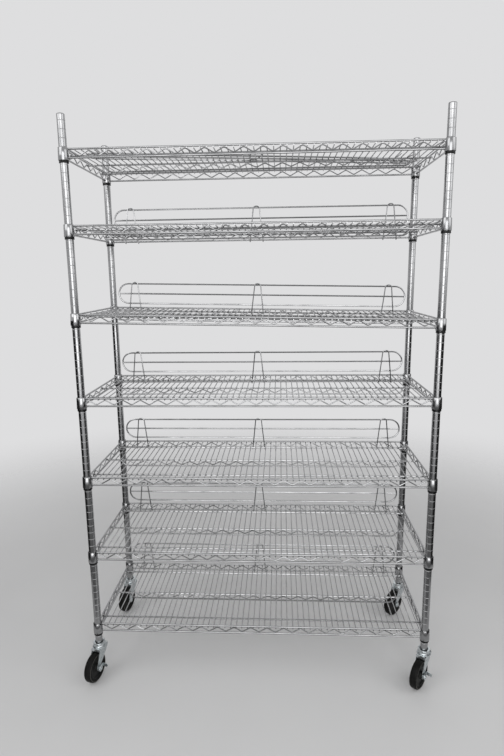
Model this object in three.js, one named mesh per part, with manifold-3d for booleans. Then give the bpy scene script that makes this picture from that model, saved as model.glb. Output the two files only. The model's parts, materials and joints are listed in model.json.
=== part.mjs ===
// Mobile wire bread rack: four grooved posts on swivel casters, seven welded wire
// shelves wedged on tapered split sleeves, and clip-on back ledges.
// Millimetres, +Z up. The front faces -Y and the floor is Z = 0.

import * as THREE from "three";
import { mergeVertices } from "three/addons/utils/BufferGeometryUtils.js";
import Module from "manifold-3d";

const wasm = await Module();
wasm.setup();

// Posts
const POST_SPACING_X = 1172; // between post centres, side to side
const POST_SPACING_Y = 420; // between post centres, front to back
const POST_DIAMETER = 25.4;
const POST_WALL = 1.5;
const POST_ABOVE_TOP_SHELF = 98; // from the top shelf's upper rails to the end of the tube
const CAP_RISE = 5; // dome of the end cap above the tube
const NOTCH = 25.4; // groove pitch, so the step in which shelves are set
const POST_SIDES = 12;

// Shelves, from the top one down: the notch, counted from the foot of the post,
// that carries each shelf at its left end and at its right end.
const SHELF_NOTCHES = [
  [67, 67],
  [58, 58],
  [47, 46],
  [36, 36],
  [25, 25],
  [14, 14],
  [3, 3],
];
const RAIL_DIAMETER = 6.3; // upper and lower wires of the edge trusses
const TRUSS_HEIGHT = 26; // between the centres of upper and lower rails
const SNAKE_DIAMETER = 4; // zigzag wire between the rails
const LONG_SNAKE_LEGS = 17; // legs of the zigzag along the front and the back
const END_SNAKE_LEGS = 7; // legs of the zigzag along each end
const DECK_DIAMETER = 3.6; // front-to-back wires that carry the load
const DECK_WIRES = 20; // an even count, so that the middle clip hangs between two of them
const DECK_END_GAP = 20; // from the outer deck wires to the end rails
const SUPPORT_DIAMETER = 6; // lengthwise wires under the deck
const SUPPORT_INSET = 56; // from the front or back rail to the nearest support
const KEEL_DROP = 22; // lower wire of the middle truss, below its upper wire
const KEEL_END = 55; // from the end rails to where the lower wire meets the upper one
const KEEL_BEND = 22; // run of the lower wire's slanted ends

// Corner collars and the split sleeves that wedge in them
const SLEEVE_TOP_WALL = 0.9;
const SLEEVE_FOOT_WALL = 2.1;
const SLEEVE_LIP = 8; // black ring that shows below the collar
const COLLAR_WALL = 1.2;
const COLLAR_RISE = 4; // above the centre of the upper rails
const COLLAR_BELOW_TRUSS = 8; // below the centre of the lower rails
const COLLAR_SIDES = 8;

// Back ledges
const LEDGE_ROD_DIAMETER = 6;
const LEDGE_ROD_PITCH = 38.5; // top, middle and bottom rods
const LEDGE_LIFT = 17; // bottom rod above the shelf's upper rail
const LEDGE_POST_GAP = 7.3; // from the loop's ends to the posts
const LEDGE_BEND_STEPS = 3; // an odd count, so that the middle rod meets a flat
const CLIP_DIAMETER = 4; // hairpin wire that clips a ledge to the truss
const CLIP_TOP_SPREAD = 12.5; // half the width of a hairpin at the top rod
const CLIP_FOOT_SPREAD = 22; // half its width at the lower rail
const CLIP_FOOT = 8; // hook under the lower rail
const CLIP_DECK_STEPS = 8.4; // from the middle of the shelf to the outer clips, in deck wires
const LOOSE_LEDGE_TURN = 10.5; // degrees, spare ledge that lies on the top shelf
const LOOSE_LEDGE_X = 5; // middle of the spare ledge
const LOOSE_LEDGE_Y = -6;

// Casters
const WHEEL_DIAMETER = 102;
const WHEEL_SIDES = 14; // flats of the tread, one of them on the floor
const TYRE_WIDTH = 26;
const TYRE_SHOULDER = 4.5; // height and width of the tread's bevels
const TYRE_DEPTH = 15; // rubber, from the tread down to the rim
const WEB_WIDTH = 16;
const HUB_WIDTH = 30;
const HUB_DIAMETER = 24;
const AXLE_DIAMETER = 8;
const CASTER_TRAIL = 36; // from the swivel's axis to the axle
const FORK_PLATE = 2.5;
const FORK_EYE_DIAMETER = 20; // rounded lower end of a fork leg
const FORK_TOP_WIDTH = 42;
const CROWN_DIAMETER = 58;
const CROWN_HEIGHT = 12;
const CROWN_FOOT_DIAMETER = 50;
const CROWN_OVER_WHEEL = 3;
const RACEWAY_HEIGHT = 9.4; // from the crown up to the foot of the post
const RACEWAY_RIM = 5; // wall of the cup in which the post stands, above the post's foot
const RACEWAY_WALL = 7;
const STEM_LENGTH = 45;
const NUT_ACROSS_CORNERS = 22;
const NUT_HEIGHT = 6;
const BRAKE_PLATE = 2;
const BRAKE_ARM = 22; // from the axle to the pedal
const BRAKE_ARM_WIDTH = 13;
const BRAKE_PEDAL = 22; // turned out sideways
// Direction in which each wheel trails: degrees from straight ahead to the left.
const CASTERS = [
  { corner: "front_left", side: -1, end: -1, turn: 15, brake: true },
  { corner: "front_right", side: 1, end: -1, turn: 38, brake: true },
  { corner: "back_left", side: -1, end: 1, turn: 15, brake: false },
  { corner: "back_right", side: 1, end: 1, turn: 45, brake: false },
];

// Clearances
const SEAT_GAP = 0.3; // between pieces that touch
const SLEEVE_PLAY = 0.2; // sleeve on its post
const COLLAR_PLAY = 0.7; // collar on its sleeve, enough for a shelf set one notch askew
const AXLE_PLAY = 0.3;
const RACEWAY_PLAY = 2.3; // post in its cup
const WELD = 0.4; // depth to which welded wires run into each other

const chrome = new THREE.MeshStandardMaterial({ color: 0xd2d5d8, metalness: 1, roughness: 0.18 });
const zinc = new THREE.MeshStandardMaterial({ color: 0xaeb4b6, metalness: 0.9, roughness: 0.4 });
const sleevePlastic = new THREE.MeshStandardMaterial({ color: 0x18191a, metalness: 0, roughness: 0.5 });
const rubber = new THREE.MeshStandardMaterial({ color: 0x141414, metalness: 0, roughness: 0.75 });

const postRadius = POST_DIAMETER / 2;
const postBoreRadius = postRadius - POST_WALL;
const postFoot =
  WHEEL_DIAMETER + CROWN_OVER_WHEEL + CROWN_HEIGHT + SEAT_GAP + RACEWAY_HEIGHT + SEAT_GAP;
const topNotch = Math.max(...SHELF_NOTCHES.flat());
const postLength = topNotch * NOTCH + POST_ABOVE_TOP_SHELF;
const halfX = POST_SPACING_X / 2;
const halfY = POST_SPACING_Y / 2;

const vec = (x, y, z) => new THREE.Vector3(x, y, z);

// Radius to the corners of a polygon whose flats lie at the given distance.
const cornerRadius = (flat, sides) => flat / Math.cos(Math.PI / sides);

// Radius to the corners of a polygon that has the area of a round wire.
const wireRadius = (diameter, sides) =>
  (diameter / 2) * Math.sqrt((2 * Math.PI) / (sides * Math.sin((2 * Math.PI) / sides)));

/** A wire's route through given bends, with one station at each of them. */
class BentWire extends THREE.Curve {
  constructor(points) {
    super();
    this.points = points;
  }

  getPoint(t, target = new THREE.Vector3()) {
    const place = t * (this.points.length - 1);
    const i = Math.min(Math.floor(place), this.points.length - 2);
    return target.lerpVectors(this.points[i], this.points[i + 1], place - i);
  }

  getPointAt(u, target) {
    return this.getPoint(u, target);
  }

  getTangentAt(u, target = new THREE.Vector3()) {
    const last = this.points.length - 1;
    const i = Math.round(u * last);
    const run = (a, b) => vec(0, 0, 0).subVectors(this.points[b], this.points[a]).normalize();
    target.set(0, 0, 0);
    if (i > 0) target.add(run(i - 1, i));
    if (i < last) target.add(run(i, i + 1));
    return target.normalize();
  }
}

function polygon(sides, radius, turn = 0) {
  const corner = (i) => (2 * Math.PI * i) / sides + turn;
  return new THREE.Shape(
    Array.from({ length: sides }, (_, i) =>
      new THREE.Vector2(radius * Math.cos(corner(i)), radius * Math.sin(corner(i))),
    ),
  );
}

/** A wire of equal-area polygon section along the given points. */
function wire(points, diameter, sides) {
  const turn = sides % 2 ? 0 : Math.PI / sides;
  return new THREE.ExtrudeGeometry(polygon(sides, wireRadius(diameter, sides), turn), {
    steps: points.length - 1,
    extrudePath: new BentWire(points),
  });
}

/** A turned solid about Z from a profile of [radius, height] pairs, flats to the axes. */
function turned(profile, sides) {
  const points = profile.map(([radius, height]) => new THREE.Vector2(radius, height));
  return new THREE.LatheGeometry(points, sides, Math.PI / sides).rotateX(Math.PI / 2);
}

/** A turned ring: the profile closes on itself. */
const ring = (profile, sides) => turned([...profile, profile[0]], sides);

function toSolid(geometry) {
  const bare = geometry.index ? geometry.toNonIndexed() : geometry.clone();
  bare.deleteAttribute("normal");
  bare.deleteAttribute("uv");
  const merged = mergeVertices(bare, 1e-3);
  return new wasm.Manifold(
    new wasm.Mesh({
      numProp: 3,
      vertProperties: merged.attributes.position.array,
      triVerts: new Uint32Array(merged.index.array),
    }),
  );
}

function toGeometry(solid) {
  const { numVert, numProp, vertProperties, triVerts } = solid.getMesh();
  const positions = new Float32Array(numVert * 3);
  for (let i = 0; i < numVert; i++)
    positions.set(vertProperties.subarray(i * numProp, i * numProp + 3), i * 3);
  return new THREE.BufferGeometry()
    .setAttribute("position", new THREE.BufferAttribute(positions, 3))
    .setIndex(new THREE.BufferAttribute(triVerts, 1));
}

/** Welds closed geometries into one body. */
const weld = (geometries) =>
  toGeometry(geometries.map(toSolid).reduce((whole, piece) => whole.add(piece)));

// Post: a thin tube, closed at the top by its domed cap and open below for the stem.
function postGeometry() {
  const capEdge = 0.7 * postRadius;
  return turned(
    [
      [0, postLength - POST_WALL],
      [postBoreRadius, postLength - POST_WALL],
      [postBoreRadius, 0],
      [postRadius, 0],
      [postRadius, postLength],
      [capEdge, postLength + 0.7 * CAP_RISE],
      [0, postLength + CAP_RISE],
    ],
    POST_SIDES,
  );
}

// Collar and sleeve heights are measured from the centre of the upper rails.
const collarFoot = -TRUSS_HEIGHT - COLLAR_BELOW_TRUSS;
const sleeveFoot = collarFoot - SLEEVE_LIP;
const sleeveBore = postRadius + SLEEVE_PLAY;

// Distance of the sleeve's outer flats from the post's axis: it widens downwards.
function sleeveFlat(height) {
  const share = (COLLAR_RISE - height) / (COLLAR_RISE - sleeveFoot);
  return sleeveBore + THREE.MathUtils.lerp(SLEEVE_TOP_WALL, SLEEVE_FOOT_WALL, share);
}

function sleeveGeometry() {
  const top = COLLAR_RISE - SEAT_GAP;
  const at = (flat, height) => [cornerRadius(flat, COLLAR_SIDES), height];
  return ring(
    [
      at(sleeveBore, sleeveFoot),
      at(sleeveFlat(sleeveFoot), sleeveFoot),
      at(sleeveFlat(top), top),
      at(sleeveBore, top),
    ],
    COLLAR_SIDES,
  );
}

const collarBore = (height) => sleeveFlat(height) + COLLAR_PLAY;
const collarFlat = (height) => collarBore(height) + COLLAR_WALL;

function collarGeometry(x, y) {
  const at = (flat, height) => [cornerRadius(flat, COLLAR_SIDES), height];
  return ring(
    [
      at(collarBore(collarFoot), collarFoot),
      at(collarFlat(collarFoot), collarFoot),
      at(collarFlat(COLLAR_RISE), COLLAR_RISE),
      at(collarBore(COLLAR_RISE), COLLAR_RISE),
    ],
    COLLAR_SIDES,
  ).translate(x, y, 0);
}

// Half the flat-to-flat width of a square wire of the rails' section.
const railHalf = wireRadius(RAIL_DIAMETER, 4) * Math.SQRT1_2;
const supportTop = -railHalf + WELD;
const deckRadius = wireRadius(DECK_DIAMETER, 3);
const deckCentre = supportTop + SEAT_GAP + deckRadius;
const deckTop = deckCentre + deckRadius / 2;
const deckReach = halfX - railHalf - DECK_END_GAP;
const deckPitch = (2 * deckReach) / (DECK_WIRES - 1);

/** Places a wire drawn along X in one of the four edge trusses. */
function edge(draw, halfLength, across, alongY) {
  const place = (u, z) => (alongY ? vec(across, u, z) : vec(u, across, z));
  return draw(halfLength, place);
}

function railPair(half, place) {
  return [0, -TRUSS_HEIGHT].map((z) => {
    const reach = half - collarFlat(z) + COLLAR_WALL / 2;
    return wire([place(-reach, z), place(reach, z)], RAIL_DIAMETER, 4);
  });
}

// The zigzag stands between the rails and starts and ends half-way up the collars.
function snake(half, place, legs) {
  const radius = wireRadius(SNAKE_DIAMETER, 3);
  const crest = -railHalf - SEAT_GAP - radius;
  const trough = -TRUSS_HEIGHT + railHalf + SEAT_GAP + radius;
  const middle = -TRUSS_HEIGHT / 2;
  const reach = half - collarFlat(middle) + COLLAR_WALL / 2;
  const leg = (2 * reach) / (legs - 1);
  const bends = Array.from({ length: legs - 1 }, (_, i) =>
    place(-reach + (i + 0.5) * leg, i % 2 ? crest : trough),
  );
  return wire([place(-reach, middle), ...bends, place(reach, middle)], SNAKE_DIAMETER, 3);
}

// Supports lap under the left end rail and butt against the right one.
function supports() {
  const radius = wireRadius(SUPPORT_DIAMETER, 3);
  const centre = supportTop - radius / 2;
  const inset = halfY - SUPPORT_INSET;
  const right = halfX - railHalf - SEAT_GAP;
  const straight = [-inset, 0, inset].map((y) =>
    wire([vec(-halfX, y, centre), vec(right, y, centre)], SUPPORT_DIAMETER, 3),
  );
  const top = halfX - KEEL_END;
  const foot = top - KEEL_BEND;
  const keel = wire(
    [
      vec(-top, 0, centre),
      vec(-foot, 0, centre - KEEL_DROP),
      vec(foot, 0, centre - KEEL_DROP),
      vec(top, 0, centre - 1.5 * radius - SEAT_GAP),
    ],
    SUPPORT_DIAMETER,
    3,
  );
  return [...straight, keel];
}

function deck() {
  const front = -halfY + railHalf - WELD;
  const back = halfY - railHalf - SEAT_GAP;
  return Array.from({ length: DECK_WIRES }, (_, i) => {
    const x = -deckReach + i * deckPitch;
    return wire([vec(x, front, deckCentre), vec(x, back, deckCentre)], DECK_DIAMETER, 3);
  });
}

// Shelf: four collars, four trusses of two rails and a zigzag, supports and deck.
function shelfGeometry() {
  const corners = [-halfX, halfX].flatMap((x) => [-halfY, halfY].map((y) => collarGeometry(x, y)));
  const long = [-halfY, halfY].flatMap((y) => [
    ...edge(railPair, halfX, y, false),
    edge((half, place) => snake(half, place, LONG_SNAKE_LEGS), halfX, y, false),
  ]);
  const ends = [-halfX, halfX].flatMap((x) => [
    ...edge(railPair, halfY, x, true),
    edge((half, place) => snake(half, place, END_SNAKE_LEGS), halfY, x, true),
  ]);
  return weld([...corners, ...long, ...ends, ...supports(), ...deck()]);
}

// Ledge heights are measured from the centre of the shelf's upper rails.
const ledgeReach = halfX - postRadius - LEDGE_POST_GAP - LEDGE_ROD_DIAMETER / 2;
const ledgeMiddle = LEDGE_LIFT + LEDGE_ROD_PITCH;
const clipRadius = wireRadius(CLIP_DIAMETER, 3);
const ledgeHalf = wireRadius(LEDGE_ROD_DIAMETER, 4) * Math.SQRT1_2;
const clipPlane = -Math.max(railHalf, ledgeHalf) - SEAT_GAP - clipRadius;

// One rod bent into a long loop, whose ends meet in the middle of its lower run.
function ledgeLoop() {
  const straight = ledgeReach - LEDGE_ROD_PITCH;
  const bend = (side) =>
    Array.from({ length: LEDGE_BEND_STEPS + 1 }, (_, i) => {
      const angle = Math.PI / 2 - (Math.PI * i) / LEDGE_BEND_STEPS;
      return vec(
        side * (straight + LEDGE_ROD_PITCH * Math.cos(angle)),
        0,
        ledgeMiddle + LEDGE_ROD_PITCH * Math.sin(angle),
      );
    });
  const end = (side) => vec((side * SEAT_GAP) / 2, 0, LEDGE_LIFT);
  return wire([end(-1), ...bend(-1).reverse(), ...bend(1), end(1)], LEDGE_ROD_DIAMETER, 4);
}

// The middle rod is welded to the loop's left end and butts against its right end.
function ledgeMiddleRod() {
  const bow = LEDGE_ROD_PITCH * (1 - Math.cos(Math.PI / (2 * LEDGE_BEND_STEPS)));
  const left = -ledgeReach + bow;
  const right = ledgeReach - bow - ledgeHalf - SEAT_GAP;
  return wire([vec(left, 0, ledgeMiddle), vec(right, 0, ledgeMiddle)], LEDGE_ROD_DIAMETER, 4);
}

// Each leg of a hairpin bends back into the front of the top rod, passes in front of
// the other rods and the truss, and hooks under the truss's lower rail.
function clipLeg(x, sign) {
  const crest = ledgeMiddle + LEDGE_ROD_PITCH - clipRadius / 6;
  const foot = -TRUSS_HEIGHT - railHalf - SEAT_GAP - clipRadius / 2;
  const low = x + sign * CLIP_FOOT_SPREAD;
  const high = x + sign * CLIP_TOP_SPREAD;
  const points = [
    vec(low, clipPlane + CLIP_FOOT, foot),
    vec(low, clipPlane, foot),
    vec(high, clipPlane, crest),
    vec(high, -ledgeHalf + WELD, crest),
  ];
  return wire(points, CLIP_DIAMETER, 3);
}

function ledgeGeometry() {
  const places = [-CLIP_DECK_STEPS, 0, CLIP_DECK_STEPS].map((step) => step * deckPitch);
  const legs = places.flatMap((x) => [clipLeg(x, -1), clipLeg(x, 1)]);
  return weld([ledgeLoop(), ledgeMiddleRod(), ...legs]);
}

// Caster heights are measured from the floor; the fork's plane is turned later.
const axleHeight = WHEEL_DIAMETER / 2;
const axleRadius = AXLE_DIAMETER / 2;
const crownFoot = WHEEL_DIAMETER + CROWN_OVER_WHEEL;
const crownTop = crownFoot + CROWN_HEIGHT;
const forkInner = HUB_WIDTH / 2 + AXLE_PLAY;
const forkOuter = forkInner + FORK_PLATE;

// Stem: a raceway cup, in which the post stands, and a pin up into the post.
function stemGeometry() {
  const seat = postFoot - SEAT_GAP;
  const pin = postBoreRadius - SEAT_GAP;
  const bore = postRadius + RACEWAY_PLAY;
  return turned(
    [
      [0, crownTop + SEAT_GAP],
      [bore + RACEWAY_WALL, crownTop + SEAT_GAP],
      [bore + RACEWAY_WALL, seat + RACEWAY_RIM],
      [bore, seat + RACEWAY_RIM],
      [bore, seat],
      [pin, seat],
      [pin, seat + STEM_LENGTH],
      [0, seat + STEM_LENGTH],
    ],
    POST_SIDES,
  );
}

// A leg in the plane of travel: wide at the crown, rounded about the axle.
function legShape() {
  const eye = FORK_EYE_DIAMETER / 2;
  const shape = new THREE.Shape();
  shape.moveTo(-FORK_TOP_WIDTH / 2, crownFoot + WELD);
  shape.lineTo(CASTER_TRAIL - eye, axleHeight);
  shape.absarc(CASTER_TRAIL, axleHeight, eye, Math.PI, 2 * Math.PI, false);
  shape.lineTo(FORK_TOP_WIDTH / 2, crownFoot + WELD);
  return shape;
}

// Sets a profile drawn in the plane of travel upright, with its depth along the axle.
function acrossFork(shape, depth, start, curveSegments = 3) {
  return new THREE.ExtrudeGeometry(shape, { depth, bevelEnabled: false, curveSegments })
    .rotateX(Math.PI / 2)
    .translate(0, start + depth, 0);
}

const axleBar = (sides, radius, from, to) =>
  acrossFork(polygon(sides, radius, Math.PI / sides), to - from, from).translate(
    CASTER_TRAIL,
    0,
    axleHeight,
  );

// Fork: crown, two legs and the axle bolt with its head and nut.
function forkGeometry(brake) {
  const crown = turned(
    [
      [0, crownFoot],
      [CROWN_FOOT_DIAMETER / 2, crownFoot],
      [CROWN_DIAMETER / 2, crownFoot + CROWN_HEIGHT / 2],
      [CROWN_DIAMETER / 2, crownTop],
      [0, crownTop],
    ],
    POST_SIDES,
  );
  const legs = [-forkOuter, forkInner].map((start) => acrossFork(legShape(), FORK_PLATE, start));
  const nutSeat = forkOuter + (brake ? BRAKE_PLATE + 2 * SEAT_GAP : -WELD);
  const nutEnd = nutSeat + NUT_HEIGHT;
  const bolt = axleBar(6, axleRadius, -forkOuter - NUT_HEIGHT + WELD, nutEnd - WELD);
  const nutRadius = NUT_ACROSS_CORNERS / 2;
  const head = axleBar(6, nutRadius, -forkOuter - NUT_HEIGHT, -forkOuter + WELD);
  const nut = axleBar(6, nutRadius, nutSeat, nutEnd);
  return weld([crown, ...legs, bolt, head, nut]);
}

// Brake lever: an eye on the axle outside the fork, an arm, and a pedal turned outwards.
function brakeGeometry() {
  const eye = BRAKE_ARM_WIDTH / 2;
  const arm = new THREE.Shape();
  arm.absarc(0, 0, eye, -Math.PI / 2, Math.PI / 2, false);
  arm.lineTo(-BRAKE_ARM, eye);
  arm.lineTo(-BRAKE_ARM, -eye);
  arm.holes.push(
    new THREE.Path(polygon(8, cornerRadius(axleRadius + AXLE_PLAY, 8), Math.PI / 8).getPoints()),
  );
  const start = forkOuter + SEAT_GAP;
  const place = (geometry) => geometry.translate(CASTER_TRAIL, 0, axleHeight);
  const pedal = new THREE.Shape();
  pedal.moveTo(-BRAKE_ARM, -eye);
  pedal.lineTo(-BRAKE_ARM + BRAKE_PLATE, -eye);
  pedal.lineTo(-BRAKE_ARM + BRAKE_PLATE, eye);
  pedal.lineTo(-BRAKE_ARM, eye);
  return weld([
    place(acrossFork(arm, BRAKE_PLATE, start, 3)),
    place(acrossFork(pedal, BRAKE_PEDAL, start)),
  ]);
}

// Wheel: hub, web and tyre turned about the axle, with a flat of the tread downwards.
function wheelGeometry() {
  const tread = WHEEL_DIAMETER / 2;
  const half = [
    [axleRadius + AXLE_PLAY, HUB_WIDTH / 2],
    [HUB_DIAMETER / 2, HUB_WIDTH / 2],
    [tread - TYRE_DEPTH, WEB_WIDTH / 2],
    [tread - TYRE_SHOULDER, TYRE_WIDTH / 2],
    [tread, TYRE_WIDTH / 2 - TYRE_SHOULDER],
  ];
  const other = half.map(([radius, width]) => [radius, -width]);
  const profile = [...other, ...half.reverse()].map(([flat, width]) => [
    cornerRadius(flat, WHEEL_SIDES),
    width,
  ]);
  return ring(profile, WHEEL_SIDES)
    .rotateX(Math.PI / 2)
    .translate(CASTER_TRAIL, 0, axleHeight);
}

const rack = new THREE.Group();

function addPiece(parent, name, geometry, material) {
  const mesh = new THREE.Mesh(geometry, material);
  mesh.name = name;
  parent.add(mesh);
  return mesh;
}

const post = postGeometry();
const sleeve = sleeveGeometry();
const stem = stemGeometry();
const wheel = wheelGeometry();
const brakeLever = brakeGeometry();
const fork = { plain: forkGeometry(false), braked: forkGeometry(true) };

for (const { corner, side, end, turn, brake } of CASTERS) {
  const leg = new THREE.Group();
  leg.position.set(side * halfX, end * halfY, 0);
  rack.add(leg);
  addPiece(leg, `post_${corner}`, post, chrome).position.z = postFoot;
  addPiece(leg, `caster_stem_${corner}`, stem, zinc);
  SHELF_NOTCHES.forEach(([left, right], i) => {
    const notch = side < 0 ? left : right;
    addPiece(leg, `sleeve_${i + 1}_${corner}`, sleeve, sleevePlastic).position.z =
      postFoot + notch * NOTCH;
  });
  const caster = new THREE.Group();
  caster.rotation.z = -Math.PI / 2 - THREE.MathUtils.degToRad(turn);
  leg.add(caster);
  addPiece(caster, `caster_fork_${corner}`, brake ? fork.braked : fork.plain, zinc);
  addPiece(caster, `caster_wheel_${corner}`, wheel, rubber);
  if (brake) addPiece(caster, `brake_lever_${corner}`, brakeLever, zinc);
}

const shelf = shelfGeometry();
const ledge = ledgeGeometry();

// A shelf whose ends sit in different notches tips about the middle of its collars.
const collarMiddle = (COLLAR_RISE + collarFoot) / 2;

SHELF_NOTCHES.forEach(([left, right], i) => {
  const tip = new THREE.Group();
  tip.position.z = postFoot + ((left + right) / 2) * NOTCH + collarMiddle;
  tip.rotation.y = Math.asin(((left - right) * NOTCH) / POST_SPACING_X);
  rack.add(tip);
  const tier = new THREE.Group();
  tier.position.z = -collarMiddle;
  tip.add(tier);
  addPiece(tier, `shelf_${i + 1}`, shelf, chrome);
  if (i > 0) {
    addPiece(tier, `ledge_${i + 1}`, ledge, chrome).position.y = halfY;
    return;
  }
  const spare = new THREE.Group();
  spare.position.set(LOOSE_LEDGE_X, LOOSE_LEDGE_Y, deckTop + SEAT_GAP + ledgeHalf);
  spare.rotation.z = THREE.MathUtils.degToRad(LOOSE_LEDGE_TURN);
  tier.add(spare);
  const lying = addPiece(spare, "ledge_1_loose", ledge, chrome);
  lying.rotation.x = -Math.PI / 2;
  lying.position.y = -ledgeMiddle;
});

// The origin lies on the floor, under the middle of the rack's outline.
const root = new THREE.Group();
root.add(rack);
root.updateMatrixWorld(true);
const outline = new THREE.Box3().setFromObject(rack, true);
rack.position.x = -(outline.min.x + outline.max.x) / 2;
rack.position.y = -(outline.min.y + outline.max.y) / 2;

export default root;
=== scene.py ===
"""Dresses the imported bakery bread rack: wire shelves, grooved posts, back ledges and casters."""

import json
import logging
import math
from dataclasses import dataclass, field
from enum import Enum
from typing import Any, NamedTuple, Sequence

import bmesh
import bpy
from mathutils import Matrix, Vector


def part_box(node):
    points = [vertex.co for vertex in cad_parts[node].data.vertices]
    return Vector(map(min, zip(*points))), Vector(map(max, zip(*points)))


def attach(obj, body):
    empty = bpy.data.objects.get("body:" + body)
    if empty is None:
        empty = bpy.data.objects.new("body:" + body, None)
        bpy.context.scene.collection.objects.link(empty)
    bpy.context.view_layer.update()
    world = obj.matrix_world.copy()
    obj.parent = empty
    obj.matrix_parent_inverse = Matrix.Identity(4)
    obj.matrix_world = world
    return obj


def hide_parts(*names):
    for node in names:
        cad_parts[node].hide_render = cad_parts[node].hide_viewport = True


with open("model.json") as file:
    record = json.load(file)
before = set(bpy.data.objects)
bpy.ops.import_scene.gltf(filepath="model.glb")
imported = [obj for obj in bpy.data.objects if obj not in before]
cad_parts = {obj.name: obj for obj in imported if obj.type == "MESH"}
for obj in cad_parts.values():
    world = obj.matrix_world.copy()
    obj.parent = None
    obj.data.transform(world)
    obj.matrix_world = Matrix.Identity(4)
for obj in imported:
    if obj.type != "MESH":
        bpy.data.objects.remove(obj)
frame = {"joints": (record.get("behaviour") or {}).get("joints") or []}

Pair = tuple[float, float]
Triple = tuple[float, float, float]
Material = bpy.types.Material
Mesh = bpy.types.Mesh
Node = bpy.types.Node
Socket = bpy.types.NodeSocket
Tree = bpy.types.NodeTree

LOG = logging.getLogger("bread_rack")
MM = 0.001
TINY = 1e-6
QUARTER = math.pi / 2
FRAME_BODY = "rack_frame"
TIERS = range(1, 8)
# A bend takes less than half of each straight run beside it, so that two bends never meet.
BEND_SHARE = 0.48
# Planes of a caster's pressings, with local Y up: local X is the way of travel in the first and
# the axle's way in the second.
ALONG_TRAVEL = Matrix(((1, 0, 0, 0), (0, 0, 1, 0), (0, 1, 0, 0), (0, 0, 0, 1)))
ACROSS_TRAVEL = Matrix(((0, 0, 1, 0), (1, 0, 0, 0), (0, 1, 0, 0), (0, 0, 0, 1)))


class Slot(Enum):
    """The record's material slots."""

    CHROME = "chrome_plated_steel"
    ZINC = "zinc_plated_steel"
    PLASTIC = "black_moulded_plastic"
    RUBBER = "black_rubber"


class Corner(Enum):
    """The rack's four corners, as seen from the front."""

    FRONT_LEFT = "front_left"
    FRONT_RIGHT = "front_right"
    BACK_LEFT = "back_left"
    BACK_RIGHT = "back_right"

    @property
    def side(self) -> str:
        """Left or right."""
        return self.value.split("_")[1]

    @property
    def has_brake(self) -> bool:
        """Only the front casters have brakes."""
        return self.value.startswith("front")


def linear(hex_colour: str) -> tuple[float, float, float, float]:
    """Turns an sRGB hex colour into linear RGBA.

    Args:
        hex_colour: a colour such as "#C0C4C8".

    Returns:
        Red, green, blue and alpha, each from 0 to 1.
    """
    parts = [int(hex_colour[i : i + 2], 16) / 255 for i in (1, 3, 5)]
    red, green, blue = (c / 12.92 if c <= 0.04045 else ((c + 0.055) / 1.055) ** 2.4 for c in parts)
    return red, green, blue, 1.0


def per_metre(size_mm: float) -> float:
    """Texture scale, in object coordinates, of a pattern with the given grain in millimetres."""
    return 1.0 / (size_mm * MM)


def feed(tree: Tree, node: Node, inputs: dict[Any, Any]) -> None:
    """Fills or links a node's inputs.

    Args:
        tree: the node tree that holds the node.
        node: the node.
        inputs: input name or index to a value, or to the output socket that feeds it.
    """
    for key, value in inputs.items():
        if isinstance(value, Socket):
            tree.links.new(value, node.inputs[key])
        else:
            node.inputs[key].default_value = value


def add_node(tree: Tree, kind: str, inputs: dict[Any, Any] | None = None, **settings: Any) -> Node:
    """Adds a node, sets its options and fills or links its inputs.

    Args:
        tree: the node tree that gets the node.
        kind: the node's type name.
        inputs: what goes into it, as feed takes it.
        **settings: the node's own options.

    Returns:
        The new node.
    """
    node = tree.nodes.new(kind)
    for name, value in settings.items():
        setattr(node, name, value)
    feed(tree, node, inputs or {})
    return node


def new_material(name: str) -> tuple[Material, Tree, Node]:
    """Makes a material with nodes.

    Args:
        name: the material's name.

    Returns:
        The material, its node tree and its shader.
    """
    material = bpy.data.materials.new(name)
    material.use_nodes = True
    return material, material.node_tree, material.node_tree.nodes["Principled BSDF"]


def show(name: str, data: bpy.types.ID) -> bpy.types.Object:
    """Makes an object and links it to the scene.

    Args:
        name: the object's name.
        data: its mesh, light or camera.

    Returns:
        The object.
    """
    thing = bpy.data.objects.new(name, data)
    bpy.context.scene.collection.objects.link(thing)
    return thing


class Textures(NamedTuple):
    """What a finish's own textures give: its clean colour, and where soil, wear and grain lie."""

    clean: Any
    soil: Socket
    wear: Socket
    grain: Socket


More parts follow.
